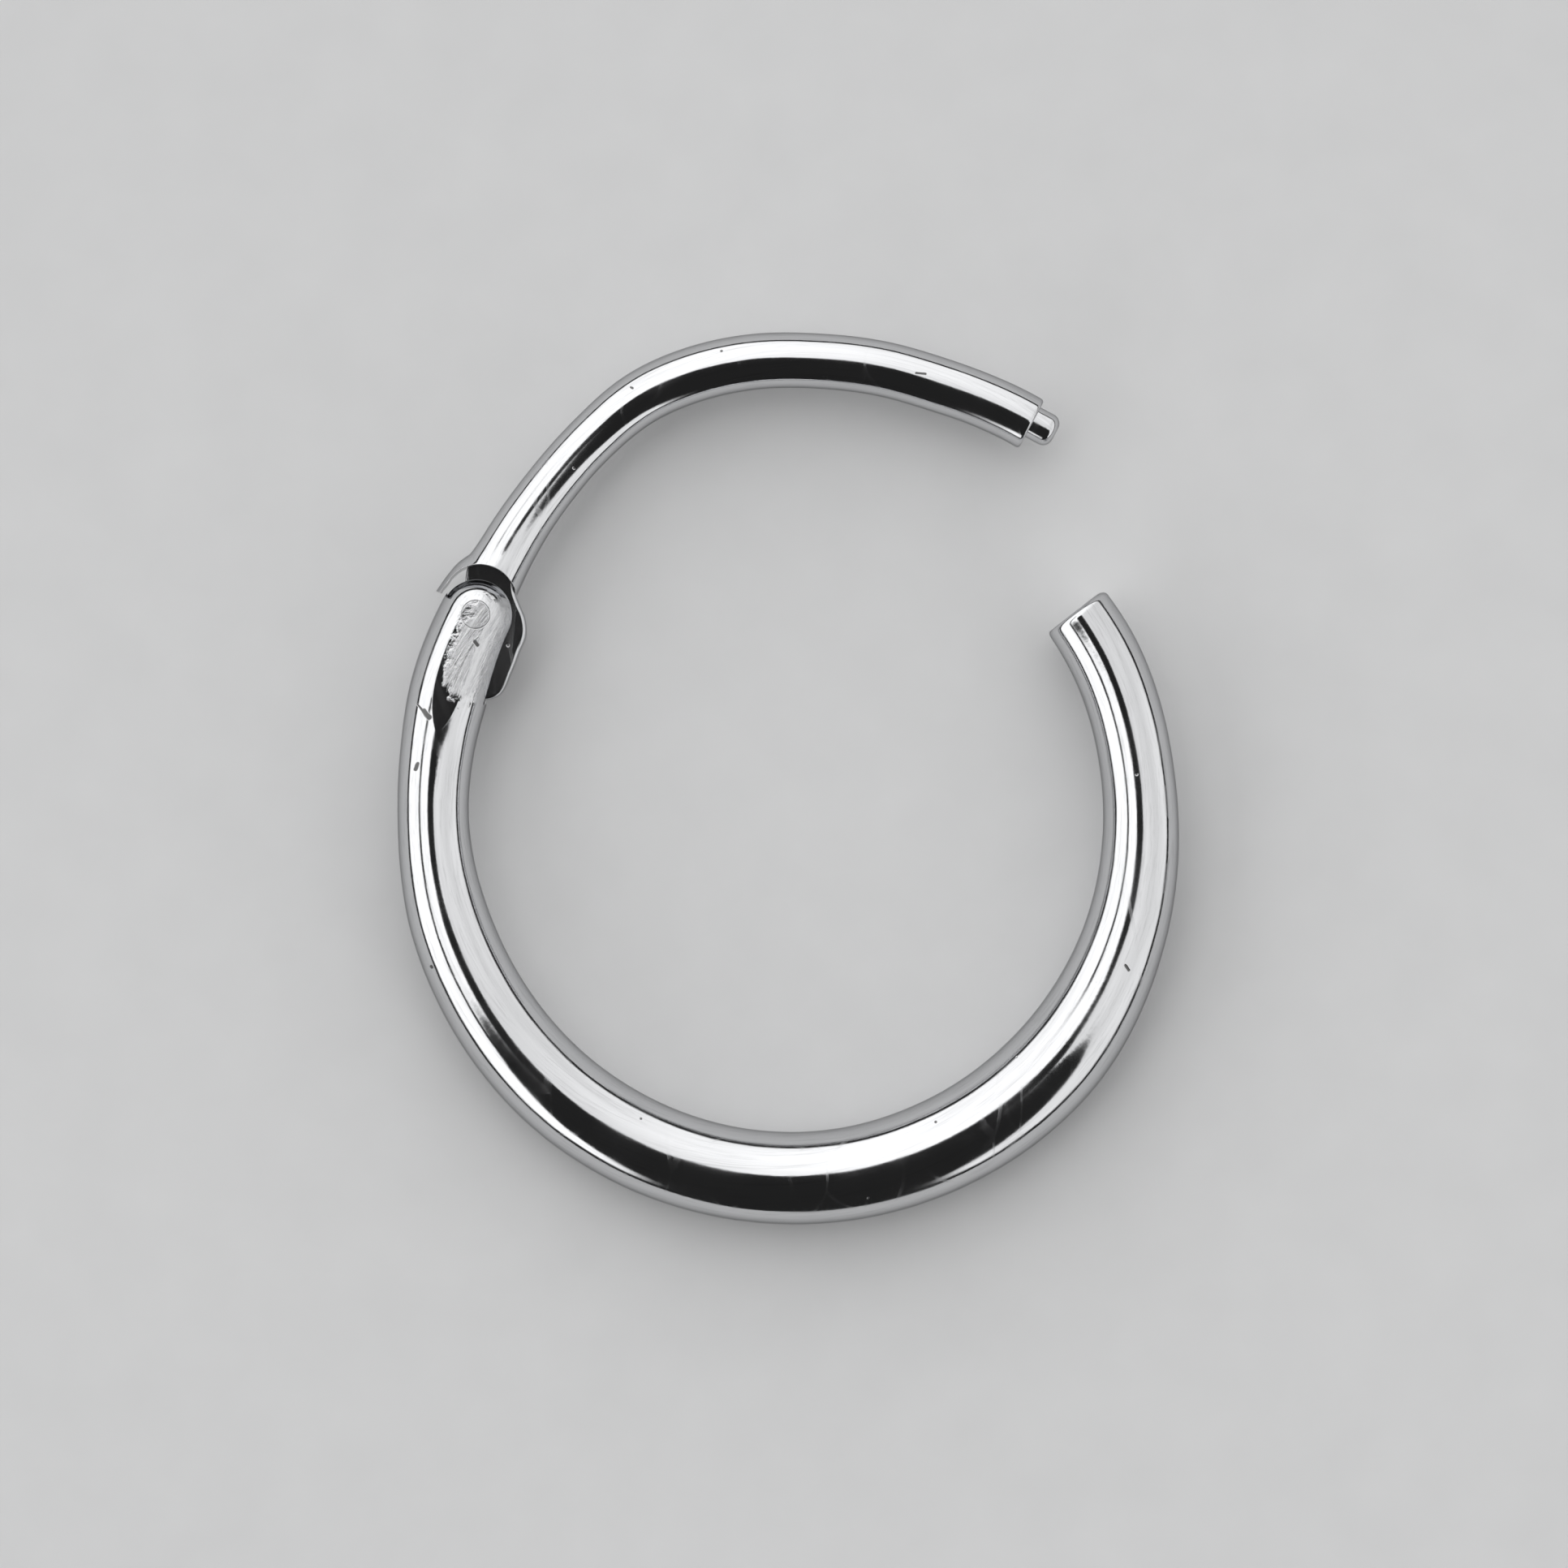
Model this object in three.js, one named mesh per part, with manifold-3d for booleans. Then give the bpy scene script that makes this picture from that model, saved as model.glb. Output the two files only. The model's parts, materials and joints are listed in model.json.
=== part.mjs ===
// A hinged segment ring of polished steel, lying open on its side.
// Millimetres, +Z up. Every piece is first laid out on the closed ring, about the ring's own
// centre, and the gate is then swung open about its pin.
import * as THREE from 'three';
import { mergeVertices } from 'three/addons/utils/BufferGeometryUtils.js';
import Module from 'manifold-3d';

// The wire ring.
const innerDiameter = 9.5;       // clear space inside the closed ring
const freeEndWire = 1.11;        // body thickness at its free end
const middleWire = 1.43;         // body thickness at its fullest
const knuckleWire = 1.14;        // body thickness at the hinge knuckle
const edgeWaver = 0.05;          // how far the body's inner edge wavers from a true circle
const knuckleInset = 0.22;       // how far the knuckle's inner edge stands back from that circle
const freeEndAngle = 35.2;       // where the body ends, in degrees from +X about the ring's centre
const hingeAngle = 147.4;        // where the pin sits, likewise
const bodyCutAngle = 38;         // direction of the body's end face
const bodyEndRounding = 0.09;    // rounding round the body's end face
const bodyEndBias = 0.5;         // how far that rounding is shifted to the outer side, 0 to 1

// The gate.
const gateWire = 0.82;           // thin wire that passes through the piercing
const shoulderStep = 0.13;       // how much thicker than the knuckle the gate's shoulder is
const gateBulge = 0.27;          // how far the gate's inner edge stands outside the ring's circle
const gateCutAngle = 43;         // direction of the gate's end face when the ring is shut
const gateEndRounding = 0.05;    // rounding round the gate's end face
const openAngle = 18.9;          // degrees that the gate stands open
const widestAngle = 48;          // degrees that the gate opens at most
const endGap = 0.04;             // least gap between the end faces when the ring is shut

// The hinge.
const pinDiameter = 0.42;
const pinSeat = 0.012;           // radial gap between the pin and the ears
const leafBoreGap = 0.03;        // radial gap between the pin and the leaf
const leafThickness = 0.36;
const slotGap = 0.03;            // gap above and below the leaf in its slot
const leafReach = 1.22;          // from the pin's centre to the end of the leaf's tail
const leafBelly = 0.8;           // from the pin's centre to the leaf's inner edge
const leafRoot = 0.15;           // how far the leaf runs into the shoulder behind the mouth
const slotEndGap = 0.07;         // gap between the leaf's rim and the walls of its slot
const slotWall = 0.13;           // what is left of the knuckle outside the slot, beside the pin
const mouthGap = 0.07;           // gap between the knuckle's round end and the gate's mouth
const mouthDepth = 0.12;         // how much deeper the mouth is in its middle
const mouthTaper = 0.08;         // how much narrower its deepest part is, as a radius
const shoulderSetback = 0.1;     // how far short of the pin's centre the shoulder stops

// The latch.
const studDiameter = 0.5;
const studLength = 0.38;         // how far the stud stands out of the gate
const studOffset = 0.04;         // how far it sits to the outer side of the gate's middle
const studShank = 0.5;           // how deep it is seated in the gate
const studSeat = 0.012;          // radial gap between the shank and its bore
const studEdge = 0.15;           // rounding of the stud's end
const socketGap = 0.03;          // gap between the stud and the socket all round

// How finely the round forms are faceted.
const wireSides = 20;
const pinSides = 20;
const domeSteps = 5;
const bodySteps = 76;
const gateSteps = 46;
const mouthSides = 48;
const sweepStops = 8;
const slotStep = 5;              // degrees between the points of the slot's rim

const steel = { color: 0xc9cbd0, roughness: 0.12, metalness: 1 };
const darkSteel = { color: 0xb4b6ba, roughness: 0.2, metalness: 1 };

const innerRadius = innerDiameter / 2;
const knuckleRadius = knuckleWire / 2;
const mouthRadius = knuckleRadius + mouthGap;
const shoulderWire = knuckleWire + shoulderStep;
const up = new THREE.Vector3(0, 0, 1);
const rad = THREE.MathUtils.degToRad;

// Body sections from the free end (0) to the pin (1). swell runs from the free end's thickness (0)
// to the fullest (1), below which it is thinner, and waver is a share of edgeWaver.
const bodySections = [
  { at: 0.00, swell: -0.12, waver: 0.0 },
  { at: 0.04, swell: 0.00, waver: -0.1 },
  { at: 0.12, swell: 0.00, waver: -0.4 },
  { at: 0.22, swell: 0.42, waver: -0.1 },
  { at: 0.31, swell: 0.98, waver: 0.0 },
  { at: 0.40, swell: 1.00, waver: 0.3 },
  { at: 0.50, swell: 0.87, waver: 0.5 },
  { at: 0.65, swell: 0.81, waver: -0.6 },
  { at: 0.75, swell: 0.53, waver: -1.0 },
  { at: 0.80, swell: 0.31, waver: -0.5 },
  { at: 0.84, swell: 0.00, waver: 0.4 },
  { at: 0.87, swell: -0.12, waver: 0.9 },
  { at: 0.91, swell: 0.00, waver: 1.0 },
  { at: 0.95, swell: 0.26, waver: 1.4 },
].map(({ at, swell, waver }) => ({
  at,
  wire: THREE.MathUtils.lerp(freeEndWire, middleWire, swell),
  inner: innerRadius + waver * edgeWaver,
}));
bodySections.push({ at: 1, wire: knuckleWire, inner: innerRadius + knuckleInset });

// The shoulder begins to swell one mouth's radius from the pin.
const gateArc = rad(hingeAngle - freeEndAngle) * innerRadius;
const shoulderRun = mouthRadius / gateArc;

// Gate sections from its tip (0) to the pin (1). swell runs from the thin wire (0) to the shoulder
// (1), and bulge is a share of gateBulge.
const gateSections = [
  { at: 0.00, swell: 0.00, bulge: -0.19 },
  { at: 0.09, swell: 0.00, bulge: -0.44 },
  { at: 0.16, swell: 0.02, bulge: -0.54 },
  { at: 0.24, swell: 0.02, bulge: -0.39 },
  { at: 0.34, swell: 0.02, bulge: -0.11 },
  { at: 0.44, swell: 0.04, bulge: 0.37 },
  { at: 0.53, swell: 0.04, bulge: 0.76 },
  { at: 0.61, swell: 0.00, bulge: 1.00 },
  { at: 0.70, swell: -0.08, bulge: 0.93 },
  { at: 0.79, swell: -0.06, bulge: 0.86 },
  { at: 0.88, swell: 0.04, bulge: 0.94 },
  { at: 1 - shoulderRun, swell: 0.20, bulge: 1.02 },
  { at: 1 - shoulderRun * 0.58, swell: 0.60, bulge: 1.00 },
].map(({ at, swell, bulge }) => ({
  at,
  wire: THREE.MathUtils.lerp(gateWire, shoulderWire, swell),
  inner: innerRadius + bulge * gateBulge,
}));
gateSections.push({ at: 1, wire: shoulderWire, inner: innerRadius + knuckleInset + shoulderStep / 4 });

// The leaf's eye leaves a wall of the knuckle outside it, and its back ends inside the shoulder.
const leafEye = knuckleRadius - slotWall - slotEndGap;
const leafBack = mouthRadius + mouthDepth + leafRoot;

// Leaf outline round the pin, in degrees from the wire's run down into the body, turning inwards.
const leafOutline = [
  { turn: 8, reach: leafReach },
  { turn: 28, reach: leafReach * 1.03 },
  { turn: 44, reach: leafReach * 0.83 },
  { turn: 62, reach: leafBelly * 1.06 },
  { turn: 80, reach: leafBelly },
  { turn: 100, reach: leafBelly * 0.9 },
  { turn: 118, reach: leafBelly * 0.82 },
  { turn: 138, reach: leafBelly * 0.85 },
  { turn: 165, reach: leafBack },
  { turn: 195, reach: leafBack },
  { turn: 222, reach: leafEye },
  { turn: 255, reach: leafEye },
  { turn: 290, reach: leafEye },
  { turn: 320, reach: leafEye * 1.12 },
  { turn: 345, reach: leafEye * 2.2 },
];

const wasm = await Module();
wasm.setup();

// A point at a radius and an angle in degrees about the ring's centre, in the wire's own plane.
function polar(radius, degrees) {
  return new THREE.Vector3(radius * Math.cos(rad(degrees)), radius * Math.sin(rad(degrees)), 0);
}

// Reads one column of a table of sections at a place between its rows, on a smooth curve.
function read(table, at, column) {
  const last = table.length - 1;
  const found = table.findIndex((row) => row.at > at);
  const i = found < 0 ? last - 1 : Math.max(found - 1, 0);
  const slope = (k) => {
    const a = table[Math.max(k - 1, 0)];
    const b = table[Math.min(k + 1, last)];
    return (b[column] - a[column]) / (b.at - a.at);
  };
  const span = table[i + 1].at - table[i].at;
  const u = (at - table[i].at) / span;
  const start = table[i][column] * (1 + 2 * u) * (1 - u) ** 2;
  const end = table[i + 1][column] * (3 - 2 * u) * u ** 2;
  return start + end + slope(i) * span * u * (1 - u) ** 2 - slope(i + 1) * span * u ** 2 * (1 - u);
}

// The wire's centre at a place along a table of sections that spans two angles.
function centreAt(table, at, fromAngle, toAngle) {
  const radius = read(table, at, 'inner') + read(table, at, 'wire') / 2;
  return polar(radius, THREE.MathUtils.lerp(fromAngle, toAngle, at));
}

// The direction across the wire, away from the ring's centre, at the same place.
function acrossAt(table, at, fromAngle, toAngle) {
  const step = 1e-3;
  const before = centreAt(table, Math.max(at - step, 0), fromAngle, toAngle);
  const after = centreAt(table, Math.min(at + step, 1), fromAngle, toAngle);
  const along = after.sub(before).normalize();
  const across = new THREE.Vector3().crossVectors(along, up);
  return across.dot(before) < 0 ? across.negate() : across;
}

// A closed skin over round sections, each with a centre, a direction across and a radius.
function loft(sections) {
  const positions = [];
  const faces = [];
  for (const { centre, across, radius } of sections) {
    for (let k = 0; k < wireSides; k += 1) {
      const turn = (2 * Math.PI * k) / wireSides;
      const point = centre.clone().addScaledVector(across, radius * Math.cos(turn));
      point.addScaledVector(up, radius * Math.sin(turn));
      positions.push(point.x, point.y, point.z);
    }
  }
  const ends = [sections[0].centre, sections[sections.length - 1].centre];
  ends.forEach((end) => positions.push(end.x, end.y, end.z));
  const firstHub = sections.length * wireSides;
  const lastRing = (sections.length - 1) * wireSides;
  for (let k = 0; k < wireSides; k += 1) {
    const next = (k + 1) % wireSides;
    for (let s = 0; s < lastRing; s += wireSides) {
      faces.push(s + k, s + next, s + wireSides + k);
      faces.push(s + next, s + wireSides + next, s + wireSides + k);
    }
    faces.push(firstHub, next, k);
    faces.push(firstHub + 1, lastRing + k, lastRing + next);
  }
  const skin = new THREE.BufferGeometry();
  skin.setAttribute('position', new THREE.Float32BufferAttribute(positions, 3));
  skin.setIndex(faces);
  return facedOutwards(skin);
}

// Turns a closed skin's faces to point out, whichever way its sections ran.
function facedOutwards(skin) {
  const place = skin.getAttribute('position');
  const index = skin.getIndex();
  const [a, b, c] = [new THREE.Vector3(), new THREE.Vector3(), new THREE.Vector3()];
  let volume = 0;
  for (let i = 0; i < index.count; i += 3) {
    a.fromBufferAttribute(place, index.getX(i));
    b.fromBufferAttribute(place, index.getX(i + 1));
    c.fromBufferAttribute(place, index.getX(i + 2));
    volume += a.dot(b.cross(c));
  }
  if (volume < 0) {
    for (let i = 0; i < index.count; i += 3) {
      const first = index.getX(i);
      index.setX(i, index.getX(i + 1));
      index.setX(i + 1, first);
    }
  }
  return skin;
}

// A three.js geometry as a solid that can be joined and cut.
function solid(geometry) {
  const bare = geometry.clone();
  bare.deleteAttribute('normal');
  bare.deleteAttribute('uv');
  const merged = mergeVertices(bare, 1e-5);
  const index = merged.getIndex().array;
  const triangles = [];
  for (let i = 0; i < index.length; i += 3) {
    const corners = [index[i], index[i + 1], index[i + 2]];
    if (new Set(corners).size === 3) {
      triangles.push(...corners);
    }
  }
  const mesh = new wasm.Mesh({
    numProp: 3,
    vertProperties: new Float32Array(merged.getAttribute('position').array),
    triVerts: new Uint32Array(triangles),
  });
  return new wasm.Manifold(mesh);
}

// The finished solid back as a three.js geometry.
function geometryOf(body) {
  const mesh = body.getMesh();
  const geometry = new THREE.BufferGeometry();
  geometry.setAttribute('position', new THREE.BufferAttribute(mesh.vertProperties, 3));
  geometry.setIndex(new THREE.BufferAttribute(mesh.triVerts, 1));
  geometry.computeVertexNormals();
  return geometry;
}

// An upright cylinder centred on the wire's plane at a place.
function uprightCylinder(radius, height, place, sides) {
  const geometry = new THREE.CylinderGeometry(radius, radius, height, sides);
  return geometry.rotateX(Math.PI / 2).translate(place.x, place.y, 0);
}

// Places along a wire, from 0 to the given end, closer together over the rounded end face.
function placesAlong(end, steps, arcLength, rounding) {
  const places = [];
  for (let k = 0; k < domeSteps; k += 1) {
    places.push((rounding * (1 - Math.cos((Math.PI / 2) * (k / domeSteps)))) / arcLength);
  }
  const start = rounding / arcLength;
  for (let k = 0; k <= steps; k += 1) {
    places.push(THREE.MathUtils.lerp(start, end, k / steps));
  }
  return places;
}

// Sections of a wire that starts on a flat end face and runs along its table.
function wireSections({ table, fromAngle, toAngle, end, steps, cutAngle, rounding, bias }) {
  const arcLength = rad(Math.abs(toAngle - fromAngle)) * innerRadius;
  return placesAlong(end, steps, arcLength, rounding).map((at) => {
    const distance = at * arcLength;
    const lean = Math.max(1 - distance / (2 * table[0].wire), 0);
    const across = acrossAt(table, at, fromAngle, toAngle);
    across.lerp(polar(1, cutAngle), lean).normalize();
    const left = Math.max(rounding - distance, 0);
    const taken = rounding - Math.sqrt(rounding ** 2 - left ** 2);
    return {
      centre: centreAt(table, at, fromAngle, toAngle).addScaledVector(across, -taken * bias),
      across,
      radius: read(table, at, 'wire') / 2 - taken,
    };
  });
}

const bodyEndAngle = hingeAngle - 360;
const pin = centreAt(bodySections, 1, freeEndAngle, bodyEndAngle);
const towardsTail = new THREE.Vector3().crossVectors(up, polar(1, hingeAngle));
const inwards = polar(-1, hingeAngle);

// When the ring is shut, the inner corner of the gate's end face is one gap from the body's face.
const tipRadius = gateSections[0].inner + gateWire / 2;
const endOffset = bodySections[0].inner + bodySections[0].wire / 2 - tipRadius;
const cutLean = rad(bodyCutAngle - freeEndAngle);
const cornerGap = endGap + (gateWire / 2) * Math.sin(rad(Math.abs(gateCutAngle - bodyCutAngle)));
const tipShift = cornerGap / Math.cos(cutLean) - endOffset * Math.tan(cutLean);
const tipAngle = freeEndAngle + THREE.MathUtils.radToDeg(tipShift / tipRadius);
const tip = polar(tipRadius, tipAngle);
const studPlace = polar(studOffset, gateCutAngle).add(tip);
const studDirection = polar(1, gateCutAngle - 90);

// The body's wire with its round knuckle end, before anything is cut into it.
function bodyBlank() {
  const sections = wireSections({
    table: bodySections,
    fromAngle: freeEndAngle,
    toAngle: bodyEndAngle,
    end: 1,
    steps: bodySteps,
    cutAngle: bodyCutAngle,
    rounding: bodyEndRounding,
    bias: bodyEndBias,
  });
  const across = polar(1, hingeAngle);
  for (let k = 1; k < domeSteps * 2; k += 1) {
    const turn = (Math.PI / 2) * (k / (domeSteps * 2));
    sections.push({
      centre: pin.clone().addScaledVector(towardsTail, -knuckleRadius * Math.sin(turn)),
      across,
      radius: knuckleRadius * Math.cos(turn),
    });
  }
  return solid(loft(sections));
}

// The stud as a lathe form along its own axis, grown all round by a gap.
function studForm(gap, shank) {
  const radius = studDiameter / 2 + gap;
  const length = studLength + gap;
  const profile = [new THREE.Vector2(0, -shank), new THREE.Vector2(radius, -shank)];
  for (let k = 0; k <= domeSteps; k += 1) {
    const turn = (Math.PI / 2) * (k / domeSteps);
    const inset = studEdge * (1 - Math.cos(turn));
    profile.push(new THREE.Vector2(radius - inset, length - studEdge + studEdge * Math.sin(turn)));
  }
  profile.push(new THREE.Vector2(0, length));
  const form = new THREE.LatheGeometry(profile, pinSides);
  const aim = new THREE.Quaternion().setFromUnitVectors(new THREE.Vector3(0, 1, 0), studDirection);
  return form.applyQuaternion(aim).translate(studPlace.x, studPlace.y, 0);
}

// Turns a form laid out on the closed ring about the pin.
function swung(geometry, degrees) {
  geometry.translate(-pin.x, -pin.y, 0).rotateZ(rad(degrees));
  return geometry.translate(pin.x, pin.y, 0);
}

// The socket is what the stud sweeps as the gate shuts, grown by the socket's gap.
function socketCut() {
  const swing = pin.distanceTo(tip);
  const clearOut = THREE.MathUtils.radToDeg((studLength + socketGap + endGap) / swing) * 1.5;
  let cut = solid(studForm(socketGap, cornerGap));
  for (let k = 1; k <= sweepStops; k += 1) {
    cut = cut.add(solid(swung(studForm(socketGap, cornerGap), (clearOut * k) / sweepStops)));
  }
  return cut;
}

// How far the leaf's rim is from the pin in a direction, between the rows of its outline.
function leafRim(turn) {
  const rows = [...leafOutline, { ...leafOutline[0], turn: leafOutline[0].turn + 360 }];
  const wanted = THREE.MathUtils.euclideanModulo(turn - rows[0].turn, 360) + rows[0].turn;
  const i = rows.findIndex((row) => row.turn > wanted) - 1;
  const share = (wanted - rows[i].turn) / (rows[i + 1].turn - rows[i].turn);
  return THREE.MathUtils.lerp(rows[i].reach, rows[i + 1].reach, share);
}

// The point in the wire's plane that lies in a direction from the pin at a distance.
function roundPin(turn, reach) {
  const place = towardsTail.clone().multiplyScalar(reach * Math.cos(rad(turn)));
  place.addScaledVector(inwards, reach * Math.sin(rad(turn))).add(pin);
  return new THREE.Vector2(place.x, place.y);
}

// A flat plate centred on the wire's plane.
function plate(outline, thickness) {
  const form = new THREE.ExtrudeGeometry(outline, {
    depth: thickness,
    bevelEnabled: false,
    curveSegments: pinSides,
  });
  return form.translate(0, 0, -thickness / 2);
}

// The slot takes in all that the leaf's rim passes between shut and widest open.
function slotCut() {
  const rim = [];
  for (let turn = 0; turn < 360; turn += slotStep) {
    let reach = 0;
    for (let swing = -slotStep; swing <= widestAngle + slotStep; swing += slotStep / 2) {
      reach = Math.max(reach, leafRim(turn - swing));
    }
    rim.push(roundPin(turn, reach + slotEndGap));
  }
  return plate(new THREE.Shape(rim), leafThickness + 2 * slotGap);
}

function ringBody() {
  const bore = pinDiameter / 2 + pinSeat;
  const pinHole = uprightCylinder(bore, 2 * knuckleWire, pin, pinSides);
  return bodyBlank().subtract(solid(slotCut())).subtract(solid(pinHole)).subtract(socketCut());
}

// The rivet is as long as the knuckle is thick, so its ends follow the ears.
function hingePin() {
  const rod = uprightCylinder(pinDiameter / 2, 2 * knuckleWire, pin, pinSides);
  return solid(rod).intersect(bodyBlank());
}

// The flat leaf that turns on the pin, with its bore.
function leaf() {
  const points = [...leafOutline, leafOutline[0]].map(({ turn, reach }) => roundPin(turn, reach));
  const rim = new THREE.SplineCurve(points);
  const outline = new THREE.Shape(rim.getPoints(leafOutline.length * 3).slice(0, -1));
  const bore = new THREE.Path();
  bore.absarc(pin.x, pin.y, pinDiameter / 2 + leafBoreGap, 0, 2 * Math.PI, true);
  outline.holes.push(bore);
  return plate(outline, leafThickness);
}

// The mouth clears the knuckle's round end, and is deeper in its middle than at its horns.
function mouthCut() {
  const middle = pin.clone().addScaledVector(towardsTail, -mouthDepth - mouthTaper);
  const deepest = uprightCylinder(mouthRadius - mouthTaper, 2 * shoulderWire, middle, mouthSides);
  return solid(uprightCylinder(mouthRadius, 2 * shoulderWire, pin, mouthSides)).add(solid(deepest));
}

function gate() {
  const setback = THREE.MathUtils.radToDeg(shoulderSetback / pin.length());
  const wire = loft(wireSections({
    table: gateSections,
    fromAngle: tipAngle,
    toAngle: hingeAngle,
    end: 1 - setback / (hingeAngle - tipAngle),
    steps: gateSteps,
    cutAngle: gateCutAngle,
    rounding: gateEndRounding,
    bias: 0,
  }));
  const studBore = solid(studForm(studSeat, studShank));
  return solid(wire).subtract(mouthCut()).add(solid(leaf())).subtract(studBore);
}

function latchStud() {
  return solid(studForm(0, studShank - 2 * studSeat));
}

function piece(name, body, finish) {
  const mesh = new THREE.Mesh(geometryOf(body), new THREE.MeshStandardMaterial(finish));
  mesh.name = name;
  return mesh;
}

// The gate and its stud swing together about the pin.
function openGate() {
  const hinge = new THREE.Group();
  hinge.position.copy(pin);
  hinge.rotation.z = rad(openAngle);
  for (const mesh of [piece('gate', gate(), steel), piece('latch_stud', latchStud(), steel)]) {
    mesh.position.copy(pin).negate();
    hinge.add(mesh);
  }
  return hinge;
}

const ring = new THREE.Group();
ring.add(piece('ring_body', ringBody(), steel), piece('hinge_pin', hingePin(), darkSteel), openGate());

// The origin is under the middle of the whole ring, on the surface that it lies on.
ring.updateMatrixWorld(true);
const box = new THREE.Box3().setFromObject(ring, true);
ring.position.set(-(box.min.x + box.max.x) / 2, -(box.min.y + box.max.y) / 2, -box.min.z);

export default ring;
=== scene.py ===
"""A hinged segment ring of polished steel, lying open on its side.

The wires are lofted by Geometry Nodes from tables of sections, in millimetres about the ring's
own centre on the closed ring. The hinge and the latch are then cut in, the gate is swung open
about its pin, and the finished meshes are written in metres where the frame has its solids.
"""
import json
import math

import bmesh
import bpy
from mathutils import Matrix, Vector


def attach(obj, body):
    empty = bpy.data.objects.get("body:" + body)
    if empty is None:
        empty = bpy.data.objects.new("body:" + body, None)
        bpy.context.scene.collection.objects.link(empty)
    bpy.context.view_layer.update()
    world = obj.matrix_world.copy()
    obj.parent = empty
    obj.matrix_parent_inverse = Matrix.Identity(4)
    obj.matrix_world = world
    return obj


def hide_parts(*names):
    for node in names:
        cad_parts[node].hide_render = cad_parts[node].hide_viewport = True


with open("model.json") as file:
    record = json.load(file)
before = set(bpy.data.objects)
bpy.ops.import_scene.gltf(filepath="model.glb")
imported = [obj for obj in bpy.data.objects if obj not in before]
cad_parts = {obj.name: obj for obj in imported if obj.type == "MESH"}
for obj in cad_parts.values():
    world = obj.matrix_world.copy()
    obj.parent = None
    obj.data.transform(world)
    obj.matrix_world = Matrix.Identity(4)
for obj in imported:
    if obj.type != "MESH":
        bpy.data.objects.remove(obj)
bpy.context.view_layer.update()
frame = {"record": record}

MM = 0.001
UP = Vector((0, 0, 1))

# Sizes in millimetres and degrees, the same as the solids'.
INNER_RADIUS = 9.5 / 2
FREE_END_WIRE = 1.11
MIDDLE_WIRE = 1.43
KNUCKLE_WIRE = 1.14
EDGE_WAVER = 0.05
KNUCKLE_INSET = 0.22
FREE_END_ANGLE = 35.2
HINGE_ANGLE = 147.4
BODY_CUT_ANGLE = 38.0
BODY_END_ROUNDING = 0.09
BODY_END_BIAS = 0.5
GATE_WIRE = 0.82
SHOULDER_STEP = 0.13
GATE_BULGE = 0.27
GATE_CUT_ANGLE = 43.0
GATE_END_ROUNDING = 0.05
OPEN_ANGLE = 18.9
WIDEST_ANGLE = 48
END_GAP = 0.04
PIN_DIAMETER = 0.42
LEAF_BORE_GAP = 0.03
LEAF_THICKNESS = 0.36
SLOT_GAP = 0.03
LEAF_REACH = 1.22
LEAF_BELLY = 0.8
LEAF_ROOT = 0.15
SLOT_END_GAP = 0.07
SLOT_WALL = 0.13
MOUTH_GAP = 0.07
MOUTH_DEPTH = 0.12
MOUTH_TAPER = 0.08
SHOULDER_SETBACK = 0.1
STUD_DIAMETER = 0.5
STUD_LENGTH = 0.38
STUD_OFFSET = 0.04
STUD_SHANK = 0.5
STUD_SEAT = 0.012
STUD_EDGE = 0.15
SOCKET_GAP = 0.03

# Sizes in millimetres and degrees that only the visual model has. The waver is a share of the
# wire's radius. The knuckle's flats lie this high above the wire's middle plane, tilt away along
# the wire and reach this far each way from the pin.
PIN_SEAT = 0.006
HAND_WAVER = 0.012
WAVERS_PER_MM = 0.7
LEAF_EDGE = 0.05
LEAF_EDGE_MARGIN = 0.012
EDGE_SOFTNESS = 0.014
FLAT_HEIGHT = 0.535
FLAT_TILT = 1.1
FLAT_LENGTH = 2.6

# How finely the forms are made. Steps of the leaf's rim and of the gate's swing are in degrees.
WIRE_SIDES = 96
BODY_STEPS = 420
GATE_STEPS = 240
DOME_STEPS = 14
ROUND_SIDES = 96
LEAF_EDGE_STEPS = 8
RIM_STEP = 3
SWING_STEP = 2
SWEEP_STOPS = 24
SHARP_EDGE = 13.0
BEVEL_SAMPLES = 6

# Points this near to each other, in millimetres, are one.
DOUBLES = 1e-5
POLE_DOUBLES = 1e-4
ON_AXIS = 1e-9

# A cut's tool is this long, and the slot and the socket leave this much more than the swing
# needs, in degrees and as a factor.
THROUGH = 3
SWING_SPARE = 4
SWEEP_SPARE = 1.5

# An end face's own direction dies out over this many wire thicknesses.
END_LEAN_REACH = 2
NEARBY = 1e-3

KNUCKLE_RADIUS = KNUCKLE_WIRE / 2
MOUTH_RADIUS = KNUCKLE_RADIUS + MOUTH_GAP
SHOULDER_WIRE = KNUCKLE_WIRE + SHOULDER_STEP
SHOULDER_RUN = MOUTH_RADIUS / (math.radians(HINGE_ANGLE - FREE_END_ANGLE) * INNER_RADIUS)
LEAF_EYE = KNUCKLE_RADIUS - SLOT_WALL - SLOT_END_GAP
LEAF_BACK = MOUTH_RADIUS + MOUTH_DEPTH + LEAF_ROOT
BODY_END_ANGLE = HINGE_ANGLE - 360

# Sections from the free end (0) to the pin (1): place, swell from the end's thickness to the
# fullest, and the inner edge's waver as a share of EDGE_WAVER.
BODY_TABLE = [
    (0.00, -0.12, 0.0), (0.04, 0.00, -0.1), (0.12, 0.00, -0.4), (0.22, 0.42, -0.1),
    (0.31, 0.98, 0.0), (0.40, 1.00, 0.3), (0.50, 0.87, 0.5), (0.65, 0.81, -0.6),
    (0.75, 0.53, -1.0), (0.80, 0.31, -0.5), (0.84, 0.00, 0.4), (0.87, -0.12, 0.9),
    (0.91, 0.00, 1.0), (0.95, 0.26, 1.4),
]

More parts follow.
